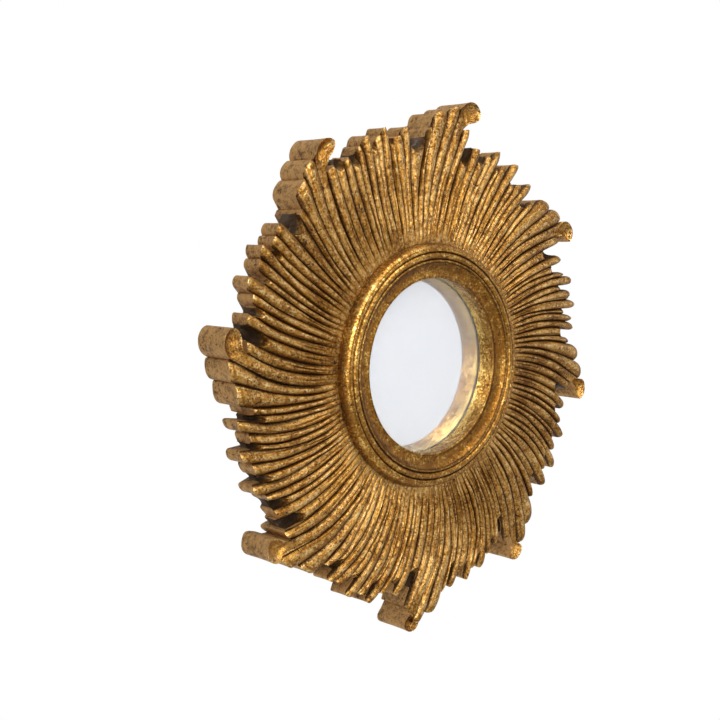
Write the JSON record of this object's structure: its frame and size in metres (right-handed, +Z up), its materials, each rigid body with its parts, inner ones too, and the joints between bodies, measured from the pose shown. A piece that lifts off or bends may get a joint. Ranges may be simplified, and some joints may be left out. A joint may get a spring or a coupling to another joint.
{
  "type": "round wall mirror",
  "caption": "Round gently convex wall mirror in a turned gilt ring, set in a deep carved sunburst frame of swept rays and hooked scrolls.",
  "frame": {"origin": "centre of the backing board's rear face, on the axis of the round opening, in the frame's back plane", "axes": "+Y out of the back into the wall, so the mirror faces -Y; +X right as seen from the front; +Z up as hung"},
  "size_m": [0.6036, 0.0681, 0.6373],
  "materials": {
    "gilding": "carved wood with gesso and aged gold leaf, rubbed at the crests, dark brown in the grooves",
    "ring_gilding": "turned wood with burnished and aged gold leaf over red-brown clay",
    "silvered_glass": "polished silvered glass",
    "softwood": "plain sawn softwood",
    "board": "plain brown hardboard",
    "brass": "plain brass plate, slightly dulled",
    "steel": "zinc-plated screw steel",
    "felt": "dense brown felt"
  },
  "bodies": {
    "frame": {"sunburst_segment_1": "gilding", "sunburst_segment_2": "gilding", "sunburst_segment_3": "gilding", "sunburst_segment_4": "gilding", "sunburst_segment_5": "gilding", "sunburst_segment_6": "gilding", "sunburst_segment_7": "gilding", "sunburst_segment_8": "gilding", "ring_moulding": "ring_gilding", "mirror_glass": "silvered_glass", "packing_ring": "softwood", "backing_board": "board", "board_screw_1": "steel", "board_screw_2": "steel", "board_screw_3": "steel", "board_screw_4": "steel", "board_screw_5": "steel", "board_screw_6": "steel", "board_screw_7": "steel", "board_screw_8": "steel", "hanger_strap_left": "brass", "hanger_strap_right": "brass", "strap_screw_left_1": "brass", "strap_screw_left_2": "brass", "strap_screw_right_1": "brass", "strap_screw_right_2": "brass", "wall_bumper_1": "felt", "wall_bumper_2": "felt", "wall_bumper_3": "felt", "wall_bumper_4": "felt"},
    "left_ring": {"hanger_ring_left": "brass"},
    "right_ring": {"hanger_ring_right": "brass"}
  },
  "joints": [
    {"name": "left_ring_swing", "type": "hinge", "parent": "frame", "child": "left_ring", "pos_m": [-0.16504, 0.0029, 0.11991], "axis": [1, 0, 0], "range_deg": [-172, 0]},
    {"name": "right_ring_swing", "type": "hinge", "parent": "frame", "child": "right_ring", "pos_m": [0.16504, 0.0029, 0.11991], "axis": [1, 0, 0], "range_deg": [-172, 0]}
  ]
}
